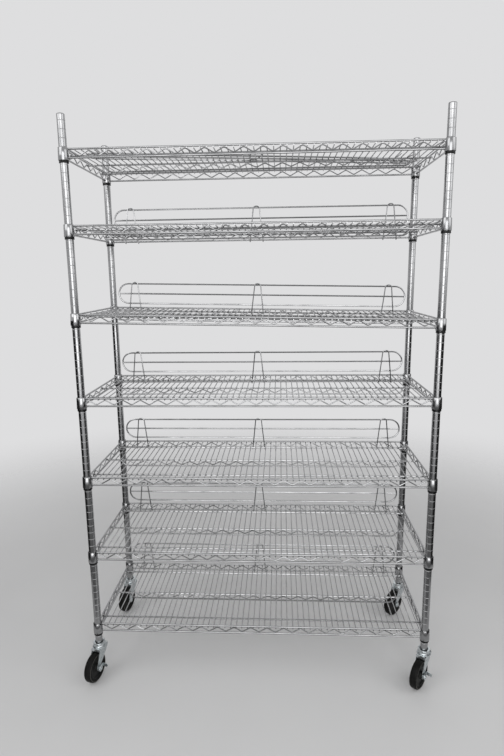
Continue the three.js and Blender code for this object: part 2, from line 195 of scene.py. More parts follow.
@dataclass(frozen=True, kw_only=True)
class Finish:
    """What all the rack's finishes have: soil in spots, an uneven polish and a fine grain."""

    name: str
    soil: str
    soil_share: float
    soil_span: Pair
    polish: Pair
    polish_span: Pair
    grain_depth_mm: float
    grain_strength: float
    metal: float = 1.0
    ior: float = 1.5
    gloss: float = 0.5

    def textures(self, tree: Tree, place: Socket) -> Textures:
        """Adds the finish's own textures.

        Args:
            tree: the material's node tree.
            place: the object's coordinates.

        Returns:
            The colour and the sockets that they give.
        """
        raise NotImplementedError

    def material(self) -> Material:
        """Builds the node material.

        Returns:
            The material.
        """
        material, tree, shader = new_material(self.name)
        place = add_node(tree, "ShaderNodeTexCoord").outputs["Object"]
        given = self.textures(tree, place)
        share = add_node(tree, "ShaderNodeMapRange",
                         {"Value": given.soil, "From Min": self.soil_span[0],
                          "From Max": self.soil_span[1], "To Min": 0.0, "To Max": self.soil_share})
        colour = add_node(tree, "ShaderNodeMix",
                          {0: share.outputs[0], 6: given.clean, 7: linear(self.soil)},
                          data_type="RGBA")
        polish = add_node(tree, "ShaderNodeMapRange",
                          {"Value": given.wear, "From Min": self.polish_span[0],
                           "From Max": self.polish_span[1], "To Min": self.polish[0],
                           "To Max": self.polish[1]})
        bump = add_node(tree, "ShaderNodeBump",
                        {"Strength": self.grain_strength, "Distance": self.grain_depth_mm * MM,
                         "Height": given.grain})
        feed(tree, shader,
             {"Metallic": self.metal, "IOR": self.ior, "Specular IOR Level": self.gloss,
              "Base Color": colour.outputs[2], "Roughness": polish.outputs[0],
              "Normal": bump.outputs[0]})
        return material


@dataclass(frozen=True, kw_only=True)
class ChromePlate(Finish):
    """Decorative chrome over nickel on drawn steel.

    The eye sees a bright grey mirror with faint drawing lines, a patchy film left by handling
    and small dull freckles where the plate has aged.
    """

    name: str = "chrome_plated_drawn_steel"
    bright: str = "#B3B3B4"
    dull: str = "#7F8081"
    soil: str = "#4A4744"
    soil_share: float = 0.35
    soil_span: Pair = (0.66, 0.78)
    polish: Pair = (0.10, 0.30)
    polish_span: Pair = (0.3, 0.75)
    grain_depth_mm: float = 0.1
    grain_strength: float = 0.04
    film_mm: float = 45.0
    freckle_mm: float = 3.0
    # Real drawing lines are about 0.1 mm apart; they are drawn ten times coarser to show.
    line_mm: float = 1.0
    line_length_mm: float = 90.0
    lines_along: tuple[bool, bool, bool] = (False, False, True)

    def textures(self, tree: Tree, place: Socket) -> Textures:
        """Adds the film, the freckles and the drawing lines.

        Args:
            tree: the material's node tree.
            place: the object's coordinates.

        Returns:
            The colour and the sockets that they give.
        """
        film = add_node(tree, "ShaderNodeTexNoise",
                        {"Vector": place, "Scale": per_metre(self.film_mm), "Detail": 3.0,
                         "Roughness": 0.5})
        freckles = add_node(tree, "ShaderNodeTexNoise",
                            {"Vector": place, "Scale": per_metre(self.freckle_mm), "Detail": 2.0})
        stretch = [per_metre(self.line_length_mm if along else self.line_mm)
                   for along in self.lines_along]
        drawn = add_node(tree, "ShaderNodeMapping", {"Vector": place, "Scale": stretch})
        lines = add_node(tree, "ShaderNodeTexNoise",
                         {"Vector": drawn.outputs[0], "Scale": 1.0, "Detail": 3.0})
        tone = add_node(tree, "ShaderNodeMix",
                        {0: film.outputs[0], 6: linear(self.bright), 7: linear(self.dull)},
                        data_type="RGBA")
        return Textures(tone.outputs[2], freckles.outputs[0], film.outputs[0], lines.outputs[0])


@dataclass(frozen=True, kw_only=True)
class ZincPlate(Finish):
    """Bright zinc plating on pressed steel.

    The eye sees a cool, cloudy grey with soft crystalline patches and darker grime in spots.
    """

    name: str = "zinc_plated_pressed_steel"
    light: str = "#D8DDDF"
    shade: str = "#AEB5B7"
    soil: str = "#4C4A46"
    soil_share: float = 0.5
    soil_span: Pair = (0.58, 0.8)
    polish: Pair = (0.24, 0.46)
    polish_span: Pair = (0.3, 0.75)
    grain_depth_mm: float = 0.08
    grain_strength: float = 0.2
    cloud_mm: float = 7.0
    grime_mm: float = 12.0
    grain_mm: float = 0.9

    def textures(self, tree: Tree, place: Socket) -> Textures:
        """Adds the crystalline clouds, the grime and the grain.

        Args:
            tree: the material's node tree.
            place: the object's coordinates.

        Returns:
            The colour and the sockets that they give.
        """
        clouds = add_node(tree, "ShaderNodeTexVoronoi",
                          {"Vector": place, "Scale": per_metre(self.cloud_mm)},
                          feature="SMOOTH_F1")
        grime = add_node(tree, "ShaderNodeTexNoise",
                         {"Vector": place, "Scale": per_metre(self.grime_mm), "Detail": 6.0})
        grain = add_node(tree, "ShaderNodeTexNoise",
                         {"Vector": place, "Scale": per_metre(self.grain_mm), "Detail": 2.0})
        tone = add_node(tree, "ShaderNodeMix",
                        {0: clouds.outputs["Distance"], 6: linear(self.light),
                         7: linear(self.shade)}, data_type="RGBA")
        return Textures(tone.outputs[2], grime.outputs[0], grime.outputs[0], grain.outputs[0])


@dataclass(frozen=True, kw_only=True)
class MouldedBlack(Finish):
    """Black filled polymer from a mould: nylon sleeves, polypropylene cores or rubber tyres.

    The eye sees a near-black skin with a fine grain, and pale dust where it has picked some up.
    """

    black: str
    dust_mm: float
    grain_mm: float
    soil_span: Pair = (0.42, 0.75)
    polish_span: Pair = (0.3, 0.7)
    grain_strength: float = 0.5
    metal: float = 0.0
    gloss: float = 0.2

    def textures(self, tree: Tree, place: Socket) -> Textures:
        """Adds the dust and the grain.

        Args:
            tree: the material's node tree.
            place: the object's coordinates.

        Returns:
            The colour and the sockets that they give.
        """
        dust = add_node(tree, "ShaderNodeTexNoise",
                        {"Vector": place, "Scale": per_metre(self.dust_mm), "Detail": 6.0,
                         "Roughness": 0.65})
        grain = add_node(tree, "ShaderNodeTexNoise",
                         {"Vector": place, "Scale": per_metre(self.grain_mm), "Detail": 2.0})
        return Textures(linear(self.black), dust.outputs[0], dust.outputs[0], grain.outputs[0])


class FinishBook:
    """Makes each finish once and hands out its material."""

    def __init__(self) -> None:
        """Builds all the materials of the rack."""
        self.wire = ChromePlate(lines_along=(True, True, False)).material()
        self.post = ChromePlate(name="chrome_plated_rolled_tube", bright="#B6B6B7", dull="#7E7F80",
                                film_mm=70.0, polish=(0.11, 0.28)).material()
        # The grooves' plate is rougher, which is real, and lighter in tone, which is a painted
        # highlight for the light lines that the grooves catch.
        self.groove = ChromePlate(name="rolled_groove_chrome_with_painted_highlight", bright="#BCBCBD",
                                  dull="#909192", film_mm=70.0, polish=(0.36, 0.5)).material()
        self.zinc = ZincPlate().material()
        self.sleeve = MouldedBlack(name="injection_moulded_black_nylon", black="#070808",
                                   soil="#2C2D30", soil_share=0.15, dust_mm=18.0, grain_mm=0.7,
                                   grain_depth_mm=0.03, polish=(0.24, 0.42), ior=1.53).material()
        self.core = MouldedBlack(name="injection_moulded_black_polypropylene", black="#0C0D0D",
                                 soil="#484742", soil_share=0.25, dust_mm=22.0, grain_mm=1.1,
                                 grain_depth_mm=0.06, polish=(0.38, 0.62), ior=1.49).material()
        self.tyre = MouldedBlack(name="vulcanised_black_rubber", black="#080808", soil="#3A3834",
                                 soil_share=0.2, dust_mm=14.0, grain_mm=1.4, grain_depth_mm=0.08,
                                 polish=(0.46, 0.7), ior=1.52, gloss=0.12).material()
        # A lighter grey rubber for the tyre's shoulders: scuff and dust, and a painted highlight
        # along the shoulder.
        self.scuffed_and_highlight_rubber = MouldedBlack(name="scuffed_rubber_with_painted_highlight", black="#3B3A38", soil="#8A8781",
                                    soil_share=0.6, dust_mm=9.0, grain_mm=1.4, grain_depth_mm=0.1,
                                    polish=(0.5, 0.75), ior=1.52).material()


@dataclass
class Form:
    """A mesh in the making: round wires, turned forms and flat pressings, in millimetres."""

    points: list[Vector] = field(default_factory=list)
    faces: list[list[int]] = field(default_factory=list)

    def skin(self, rings: Sequence[Sequence[Vector]], closed: bool = False) -> None:
        """Skins rings of equal count and closes the two ends.

        Args:
            rings: the rings in order, each counter-clockwise about the way they run.
            closed: join the last ring to the first and leave out the ends.
        """
        first, count, total = len(self.points), len(rings[0]), len(rings)
        for ring in rings:
            self.points.extend(ring)
        for i in range(total if closed else total - 1):
            a, b = first + i * count, first + (i + 1) % total * count
            for j in range(count):
                k = (j + 1) % count
                self.faces.append([a + j, a + k, b + k, b + j])
        if not closed:
            last = first + (total - 1) * count
            self.faces.append([first + j for j in reversed(range(count))])
            self.faces.append([last + j for j in range(count)])

    def wire(self, path: Sequence[Vector], diameter: float, sides: int = 8,
             closed: bool = False) -> None:
        """Adds a round wire along a path.

        Args:
            path: the points on the wire's middle line.
            diameter: the wire's diameter.
            sides: facets around the wire.
            closed: the path is a loop.
        """
        radius, count = diameter / 2, len(path)
        turns = [math.tau * j / sides for j in range(sides)]
        rings: list[list[Vector]] = []
        side: Vector | None = None
        for i, point in enumerate(path):
            tangent = Vector()
            if i > 0 or closed:
                tangent += (point - path[i - 1]).normalized()
            if i < count - 1 or closed:
                tangent += (path[(i + 1) % count] - point).normalized()
            tangent.normalize()
            side = tangent.orthogonal() if side is None else side - tangent * side.dot(tangent)
            side.normalize()
            other = tangent.cross(side)
            rings.append([point + radius * (math.cos(t) * side + math.sin(t) * other)
                          for t in turns])
        self.skin(rings, closed)

    def turned(self, profile: Sequence[Pair], sides: int, at: Matrix | None = None,
               start: float = 0.0, sweep: float = math.tau) -> "Form":
        """Adds a turned form.

        Args:
            profile: closed outline of radius and height pairs, upwards on the outside.
            sides: facets around a full turn.
            at: where the turning axis, Z, and the origin go.
            start: angle at which a part turn starts.
            sweep: angle of the turn.

        Returns:
            This form.
        """
        place = at or Matrix.Identity(4)
        whole = sweep >= math.tau - TINY
        steps = sides if whole else max(2, round(sides * sweep / math.tau))
        angles = [start + sweep * i / steps for i in range(steps if whole else steps + 1)]
        rings = [[place @ Vector((r * math.cos(a), r * math.sin(a), h)) for r, h in profile]
                 for a in angles]
        self.skin(rings, whole)
        return self

    def pressing(self, outline: Sequence[Pair], thickness: float, at: Matrix) -> None:
        """Adds a flat plate.

        Args:
            outline: X and Y pairs, counter-clockwise.
            thickness: the plate's thickness along local Z.
            at: where the outline's plane goes.
        """
        self.skin([[at @ Vector((x, y, z)) for x, y in outline] for z in (0.0, thickness)])

    def mesh(self, name: str, material: Material, crease_deg: float = 38.0) -> Mesh:
        """Makes a Blender mesh in metres with soft shading and sharp creases.

        Args:
            name: the mesh's name.
            material: its finish.
            crease_deg: edges sharper than this stay sharp.

        Returns:
            The mesh.
        """
        mesh = bpy.data.meshes.new(name)
        mesh.from_pydata([point * MM for point in self.points], [], self.faces)
        work = bmesh.new()
        work.from_mesh(mesh)
        bmesh.ops.remove_doubles(work, verts=work.verts, dist=TINY)
        bmesh.ops.recalc_face_normals(work, faces=work.faces)
        work.to_mesh(mesh)
        work.free()
        mesh.materials.append(material)
        mesh.polygons.foreach_set("use_smooth", [True] * len(mesh.polygons))
        mesh.set_sharp_from_angle(angle=math.radians(crease_deg))
        return mesh


@dataclass(frozen=True)
class Piece:
    """One object of the dressed rack, with what carries it and what it stands for."""

    name: str
    mesh: Mesh
    slot: Slot
    replaces: tuple[str, ...]
    body: str = FRAME_BODY
    at: Matrix = field(default_factory=lambda: Matrix.Identity(4))
    bevel_mm: float = 0.0
    bevel_from_deg: float = 40.0

    def put(self) -> None:
        """Places the object, rides it on its body and hides the nodes that it stands for."""
        mesh, at = self.mesh, self.at
        if at.to_quaternion().angle > TINY:
            # A turned piece has its place in its mesh, so that its box is as tight as its shape.
            mesh, at = mesh.copy(), Matrix.Identity(4)
            mesh.transform(self.at)
        piece = show(self.name, mesh)
        piece.matrix_world = at
        if self.bevel_mm:
            edge = piece.modifiers.new("rounded_edges", "BEVEL")
            edge.width = self.bevel_mm * MM
            edge.segments = 2
            edge.limit_method = "ANGLE"
            edge.angle_limit = math.radians(self.bevel_from_deg)
        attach(piece, self.body)
        if self.replaces:
            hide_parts(*self.replaces)
        LOG.info("%s rides on %s", self.name, self.body)


def rounded(path: Sequence[Vector], radius: float, steps: int = 3) -> list[Vector]:
    """Rounds the bends of a path.

    Args:
        path: the corners, with plain ends.
        radius: how far from a corner its bend starts, at most.
        steps: segments in each bend.

    Returns:
        The path's points with the bends in place of the corners.
    """
    points = [path[0]]
    for before, corner, after in zip(path, path[1:], path[2:]):
        runs = (before - corner, after - corner)
        reach = min(radius, *(BEND_SHARE * run.length for run in runs))
        start, end = (corner + run.normalized() * reach for run in runs)
        points += curve(start, corner, end, steps)
    return [*points, path[-1]]


def curve(start: Vector, pull: Vector, end: Vector, steps: int) -> list[Vector]:
    """Points on a plain curve.

    Args:
        start: the first point.
        pull: the point that the curve leaves towards and arrives from.
        end: the last point.
        steps: segments in the curve.

    Returns:
        The points, with both ends.
    """
    return [start.lerp(pull, i / steps).lerp(pull.lerp(end, i / steps), i / steps)
            for i in range(steps + 1)]


def spaced(first: float, last: float, count: int) -> list[float]:
    """Numbers at even steps, with both ends."""
    return [first + (last - first) * i / (count - 1) for i in range(count)]


def arc(centre: Pair, radius: float, first: float, last: float, count: int) -> list[Pair]:
    """Points on an arc.

    Args:
        centre: the arc's middle.
        radius: its radius.
        first: the angle at which it starts.
        last: the angle at which it ends.
        count: how many points it has.

    Returns:
        The points, with both ends.
    """
    return [(centre[0] + radius * math.cos(a), centre[1] + radius * math.sin(a))
            for a in spaced(first, last, count)]


@dataclass(frozen=True)
class Grid:
    """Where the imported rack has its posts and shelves, in millimetres."""

    centre: Vector
    half_x: float
    half_y: float
    foot: float
    cap_top: float
    # The sleeve's top edge above the middle of the shelf's upper rails.
    sleeve_rise: float = 3.7

    @classmethod
    def read(cls) -> "Grid":
        """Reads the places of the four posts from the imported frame.

        Returns:
            The grid.
        """
        low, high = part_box("post_front_left")
        left = (low + high) / 2 / MM
        low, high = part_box("post_back_right")
        right = (low + high) / 2 / MM
        middle, half = (left + right) / 2, (right - left) / 2
        return cls(Vector((middle.x, middle.y, 0)), half.x, half.y, low.z / MM, high.z / MM)

    def post(self, corner: Corner) -> Vector:
        """Finds the foot of a post's axis.

        Args:
            corner: the post's corner.

        Returns:
            The point on the floor.
        """
        side = -1 if corner.side == "left" else 1
        depth = -1 if corner.has_brake else 1
        return self.centre + Vector((side * self.half_x, depth * self.half_y, 0))

    def rail(self, tier: int, side: str) -> float:
        """Height of a shelf's upper rails at its left or right end."""
        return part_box(f"sleeve_{tier}_front_{side}")[1].z / MM - self.sleeve_rise

    def tier(self, tier: int, pivot: float) -> Matrix:
        """Where a shelf sits.

        Args:
            tier: the shelf's number, from the top.
            pivot: height, from the upper rails, about which an askew shelf tips.

        Returns:
            The shelf's matrix, in metres.
        """
        left, right = self.rail(tier, "left"), self.rail(tier, "right")
        tip = math.asin((left - right) / (2 * self.half_x))
        lift = Vector((self.centre.x, self.centre.y, (left + right) / 2 + pivot))
        return (Matrix.Translation(lift * MM) @ Matrix.Rotation(tip, 4, "Y")
                @ Matrix.Translation((0, 0, -pivot * MM)))


@dataclass(frozen=True)
class Post:
    """Tube with a rolled groove at every inch and a domed end cap."""

    grid: Grid
    diameter: float = 25.4
    sides: int = 24
    crease_deg: float = 25.0
    chamfer: float = 0.6
    pitch: float = 25.4
    first_groove_below_top: float = 17.0
    plain_foot: float = 6.0
    groove_width: float = 1.9
    groove_floor_share: float = 0.35
    groove_depth: float = 0.42
    groove_slack: float = 0.01
    cap_rise: float = 5.0
    seam_depth: float = 0.3
    seam_heights: Triple = (0.4, 0.9, 1.2)
    dome_shares: tuple[float, ...] = (0.3, 0.55, 0.75, 0.9)
    dome_fullness: float = 0.6

    @property
    def tube_top(self) -> float:
        """Where the tube ends and its cap starts."""
        return self.grid.cap_top - self.cap_rise

    def form(self) -> Form:
        """Turns the post's outline about Z.

        Returns:
            The post.
        """
        radius, foot, top = self.diameter / 2, self.grid.foot, self.tube_top
        floor, half = radius - self.groove_depth, self.groove_width / 2
        flat = self.groove_floor_share * half
        highest = top - self.first_groove_below_top
        count = int((highest - foot - self.plain_foot) // self.pitch)
        outline = [(0, foot), (radius - self.chamfer, foot), (radius, foot + self.chamfer)]
        for i in range(count, -1, -1):
            height = highest - i * self.pitch
            outline += [(radius, height - half), (floor, height - flat), (floor, height + flat),
                        (radius, height + half)]
        low, high, rim = (top + height for height in self.seam_heights)
        seam = radius - self.seam_depth
        outline += [(radius, top), (seam, low), (seam, high), (radius, rim)]
        for share in self.dome_shares:
            angle = share * QUARTER
            outline.append((radius * math.cos(angle) ** self.dome_fullness,
                            rim + (self.grid.cap_top - rim) * math.sin(angle)))
        outline.append((0, self.grid.cap_top))
        return Form().turned(outline, self.sides)

    def finish_grooves_with_painted_highlight(self, mesh: Mesh, material: Material) -> None:
        """Gives the grooves, which polishing misses, their softer finish, and a lighter tone that
        is a painted highlight for the light lines that they catch.

        Args:
            mesh: the post's mesh.
            material: the groove's plate, rougher and lighter in tone; the lighter tone is a painted
                highlight.
        """
        mesh.materials.append(material)
        outer = self.diameter / 2 - self.groove_slack
        inner = outer - self.groove_depth
        for face in mesh.polygons:
            reach = sum(mesh.vertices[i].co.xy.length for i in face.vertices)
            reach /= len(face.vertices) * MM
            height = face.center.z / MM
            above_foot = self.grid.foot + self.plain_foot / 2 < height
            if inner < reach < outer and above_foot and height < self.tube_top:
                face.material_index = 1

    def dress(self, finishes: FinishBook) -> None:
        """Puts the four posts in place.

        Args:
            finishes: the rack's materials.
        """
        mesh = self.form().mesh("grooved_post", finishes.post, self.crease_deg)
        # The grooves get their rougher plate, with a lighter tone that is a painted highlight.
        self.finish_grooves_with_painted_highlight(mesh, finishes.groove)
        for corner in Corner:
            at = Matrix.Translation(self.grid.post(corner) * MM)
            Piece(f"grooved_post_{corner.value}", mesh, Slot.CHROME, (f"post_{corner.value}",),
                  at=at).put()


@dataclass(frozen=True)
class Sleeve:
    """Tapered split sleeve in two halves, with a bead at its foot."""

    grid: Grid
    bore: float = 12.75
    bore_chamfer: float = 0.5
    top_radius: float = 13.85
    top_round: float = 0.4
    foot_radius: float = 15.0
    foot_round: float = 0.7
    foot: float = -42.0
    lip: float = 8.0
    bead: float = 0.25
    bead_middle: float = 2.0
    bead_top: float = 3.3
    sides: int = 32
    crease_deg: float = 30.0
    slit_deg: float = 5.0
    # Angle of the slit at each corner, in radians, and its turn from one shelf to the next.
    slit_starts: tuple[float, ...] = (10.0, 11.0, 9.0, 10.0)
    slit_turn: float = 0.9

    def form(self) -> Form:
        """Builds the two halves about Z, from the shelf's upper rails.

        Returns:
            The sleeve.
        """
        foot, top = self.foot, self.grid.sleeve_rise
        wide, narrow = self.foot_radius, self.top_radius
        outline = [
            (self.bore, foot + self.bore_chamfer), (self.bore + self.bore_chamfer, foot),
            (wide - self.foot_round, foot), (wide, foot + self.foot_round),
            (wide + self.bead, foot + self.bead_middle), (wide, foot + self.bead_top),
            (wide - self.bead, foot + self.lip), (narrow, top - self.top_round),
            (narrow - self.top_round, top), (self.bore, top),
        ]
        form, slit = Form(), math.radians(self.slit_deg)
        for start in (0.0, math.pi):
            form.turned(outline, self.sides, start=start + slit / 2, sweep=math.pi - slit)
        return form

    def dress(self, finishes: FinishBook) -> None:
        """Puts four sleeves under each shelf.

        Args:
            finishes: the rack's materials.
        """
        mesh = self.form().mesh("split_sleeve", finishes.sleeve, self.crease_deg)
        for corner, slit in zip(Corner, self.slit_starts):
            for tier in TIERS:
                place = self.grid.post(corner)
                place.z = self.grid.rail(tier, corner.side)
                turn = Matrix.Rotation(slit + self.slit_turn * tier, 4, "Z")
                Piece(f"split_sleeve_{tier}_{corner.value}", mesh, Slot.PLASTIC,
                      (f"sleeve_{tier}_{corner.value}",),
                      at=Matrix.Translation(place * MM) @ turn).put()


@dataclass(frozen=True)
class Shelf:
    """Welded wire shelf: collars, edge trusses, deck, supports and the keel truss.

    A weld is how far a wire runs into the one that it is welded to.
    """

    grid: Grid
    rail: float = 6.3
    rail_sides: int = 10
    bore_to_rail: float = 0.6
    truss: float = 26.0
    zigzag: float = 4.0
    zigzag_weld: float = 0.5
    zigzag_end: float = 5.0
    long_legs: int = 38
    end_legs: int = 12
    bend: float = 5.5
    deck: float = 3.6
    deck_weld: float = 0.2
    deck_wires: int = 57
    deck_end_gap: float = 17.0
    deck_over: float = 0.8
    support: float = 6.0
    support_weld: float = 0.3
    support_over: float = 1.0
    support_inset: float = 56.0
    keel: float = 5.6
    keel_weld: float = 0.6
    keel_drop: float = 22.0
    keel_end: float = 55.0
    keel_run: float = 22.0
    keel_bend: float = 10.0
    keel_legs: int = 34
    keel_zigzag_end: float = 8.0
    collar_rise: float = 4.0
    collar_foot: float = -34.0
    collar_bore: Pair = (14.55, 15.45)
    collar_wall: float = 1.3
    collar_edge: float = 0.5
    collar_foot_round: float = 0.3
    collar_top_round: float = 0.4
    collar_sides: int = 32

    @property
    def pivot(self) -> float:
        """Middle of the collars, about which an askew shelf tips."""
        return (self.collar_rise + self.collar_foot) / 2

    @property
    def deck_height(self) -> float:
        """Middle of the deck wires, which pass under the front and back rails."""
        return -(self.rail + self.deck) / 2 + self.deck_weld

    @property
    def support_height(self) -> float:
        """Middle of the lengthwise wires, which pass under the deck."""
        return self.deck_height - (self.deck + self.support) / 2 + self.support_weld

    @property
    def pitch(self) -> float:
        """Spacing of the deck wires."""
        return 2 * (self.grid.half_x - self.deck_end_gap) / (self.deck_wires - 1)

    def collar(self, form: Form, x: float, y: float) -> None:
        """Adds a tapered corner collar with rolled edges.

        Args:
            form: the shelf's form.
            x: the corner's place along the shelf.
            y: its place across the shelf.
        """
        top, foot, edge = self.collar_rise, self.collar_foot, self.collar_edge
        upper, lower = self.collar_bore
        above, below = upper + self.collar_wall, lower + self.collar_wall
        lip = self.collar_top_round
        outline = [
            (lower, foot + edge), (lower + edge, foot), (below - self.collar_foot_round, foot),
            (below, foot + edge), (above, top - edge), (above - lip, top), (upper + lip, top),
            (upper, top - edge),
        ]
        form.turned(outline, self.collar_sides, Matrix.Translation((x, y, 0)))

    def zigzag_wire(self, form: Form, ends: Sequence[Vector], legs: int, heights: Pair) -> None:
        """Adds a wire that is bent to and fro between two heights.

        Args:
            form: the shelf's form.
            ends: where it starts and ends, seen from above.
            legs: its straight legs.
            heights: the heights of its crests and of its troughs.
        """
        start, end = ends
        stations = [start.lerp(end, i / legs) for i in range(legs + 1)]
        path = [Vector((p.x, p.y, heights[i % 2])) for i, p in enumerate(stations)]
        form.wire(rounded(path, self.bend), self.zigzag)

    def truss_wires(self, form: Form, start: Vector, end: Vector, legs: int) -> None:
        """Adds two rails and the zigzag between them.

        Args:
            form: the shelf's form.
            start: a collar's middle, at the height of the upper rail.
            end: the other collar's middle.
            legs: straight legs in the zigzag.
        """
        way = (end - start).normalized()
        inset, margin = way * (self.collar_bore[0] + self.bore_to_rail), way * self.zigzag_end
        a, b = start + inset, end - inset
        for drop in (Vector(), Vector((0, 0, -self.truss))):
            form.wire([a + drop, b + drop], self.rail, self.rail_sides)
        gap = (self.rail + self.zigzag) / 2 - self.zigzag_weld
        self.zigzag_wire(form, (a + margin, b - margin), legs, (-gap, gap - self.truss))

    def keel_truss(self, form: Form) -> None:
        """Adds what hangs under the middle support: the keel's lower wire and its zigzag.

        Args:
            form: the shelf's form.
        """
        z = self.support_height
        foot = z - self.keel_drop
        start = self.grid.half_x - self.keel_end
        turn = start - self.keel_run
        path = [Vector((-start, 0, z)), Vector((-turn, 0, foot)), Vector((turn, 0, foot)),
                Vector((start, 0, z))]
        form.wire(rounded(path, self.keel_bend, steps=4), self.keel)
        gap = (self.support + self.zigzag) / 2 - self.keel_weld
        last = Vector((turn - self.keel_zigzag_end, 0, 0))
        self.zigzag_wire(form, (-last, last), self.keel_legs, (z - gap, foot + gap))

    def form(self) -> Form:
        """Builds the shelf about the middle of its upper rails.

        Returns:
            The shelf.
        """
        form, x, y = Form(), self.grid.half_x, self.grid.half_y
        for sx in (-x, x):
            for sy in (-y, y):
                self.collar(form, sx, sy)
            self.truss_wires(form, Vector((sx, -y, 0)), Vector((sx, y, 0)), self.end_legs)
        for sy in (-y, y):
            self.truss_wires(form, Vector((-x, sy, 0)), Vector((x, sy, 0)), self.long_legs)
        inset, reach = y - self.support_inset, x + self.support_over
        for across in (-inset, 0.0, inset):
            form.wire([Vector((end, across, self.support_height)) for end in (-reach, reach)],
                      self.support)
        self.keel_truss(form)
        edge, over = x - self.deck_end_gap, y + self.rail / 2 + self.deck_over
        for at in spaced(-edge, edge, self.deck_wires):
            form.wire([Vector((at, end, self.deck_height)) for end in (-over, over)], self.deck)
        return form

    def dress(self, finishes: FinishBook) -> None:
        """Puts the seven shelves in place.

        Args:
            finishes: the rack's materials.
        """
        mesh = self.form().mesh("wire_shelf", finishes.wire)
        for tier in TIERS:
            Piece(f"wire_shelf_{tier}", mesh, Slot.CHROME, (f"shelf_{tier}",),
                  at=self.grid.tier(tier, self.pivot)).put()


@dataclass(frozen=True)
class Ledge:
    """Clip-on back ledge: a long loop, a middle rod and three hairpins."""

    shelf: Shelf
    rod: float = 6.0
    rod_weld: float = 0.5
    rod_pitch: float = 38.5
    lift: float = 17.0
    reach: float = 563.0
    clip: float = 4.4
    clip_weld: float = 0.3
    clip_bend: float = 11.5
    clip_top: float = 11.0
    clip_foot: float = 25.0
    clip_crest: float = 5.5
    hook: float = 8.0
    clip_pitches: Triple = (-24.5, -0.5, 24.5)
    spare_turn_deg: float = 10.5
    spare_place: Pair = (5.0, -6.0)
    spare_gap: float = 0.1

    @property
    def middle(self) -> float:
        """Height of the middle rod above the shelf's upper rails."""
        return self.lift + self.rod_pitch

    def hairpin(self, form: Form, x: float) -> None:
        """Adds a hairpin welded to the front of the rods and hooked under the lower rail.

        Args:
            form: the ledge's form.
            x: the hairpin's place along the ledge.
        """
        front = -(self.rod + self.clip) / 2 + self.clip_weld
        foot = -self.shelf.truss - (self.shelf.rail + self.clip) / 2
        crest = self.middle + self.rod_pitch + self.clip_crest
        side = [
            Vector((-self.clip_foot, front + self.hook, foot)),
            Vector((-self.clip_foot, front, foot)),
            Vector((-self.clip_top, front, crest)),
        ]
        other = [Vector((-p.x, p.y, p.z)) for p in reversed(side)]
        path = [p + Vector((x, 0, 0)) for p in [*side, *other]]
        form.wire(rounded(path, self.clip_bend, steps=5), self.clip)

    def form(self) -> Form:
        """Builds the ledge about the shelf's back upper rail.

        Returns:
            The ledge.
        """
        form, straight, z = Form(), self.reach - self.rod_pitch, self.middle
        ends = [*arc((straight, z), self.rod_pitch, QUARTER, -QUARTER, count=15),
                *arc((-straight, z), self.rod_pitch, -QUARTER, -3 * QUARTER, count=15)]
        form.wire([Vector((along, 0, up)) for along, up in ends], self.rod, closed=True)
        inner = self.reach - self.rod / 2 + self.rod_weld
        form.wire([Vector((-inner, 0, z)), Vector((inner, 0, z))], self.rod)
        for step in self.clip_pitches:
            self.hairpin(form, step * self.shelf.pitch)
        return form

    def dress(self, finishes: FinishBook) -> None:
        """Clips six ledges on and lays the spare one on the top shelf.

        Args:
            finishes: the rack's materials.
        """
        mesh = self.form().mesh("back_ledge", finishes.wire)
        shelf, grid = self.shelf, self.shelf.grid
        back_rail = Matrix.Translation((0, grid.half_y * MM, 0))
        for tier in TIERS[1:]:
            Piece(f"back_ledge_{tier}", mesh, Slot.CHROME, (f"ledge_{tier}",),
                  at=grid.tier(tier, shelf.pivot) @ back_rail).put()
        deck_top = shelf.deck_height + shelf.deck / 2
        spot = Vector((*self.spare_place, deck_top + self.rod / 2 + self.spare_gap)) * MM
        lying = (grid.tier(TIERS[0], shelf.pivot) @ Matrix.Translation(spot)
                 @ Matrix.Rotation(math.radians(self.spare_turn_deg), 4, "Z")
                 @ Matrix.Translation((0, -self.middle * MM, 0))
                 @ Matrix.Rotation(-QUARTER, 4, "X"))
        Piece("back_ledge_spare", mesh, Slot.CHROME, ("ledge_1_loose",), at=lying).put()


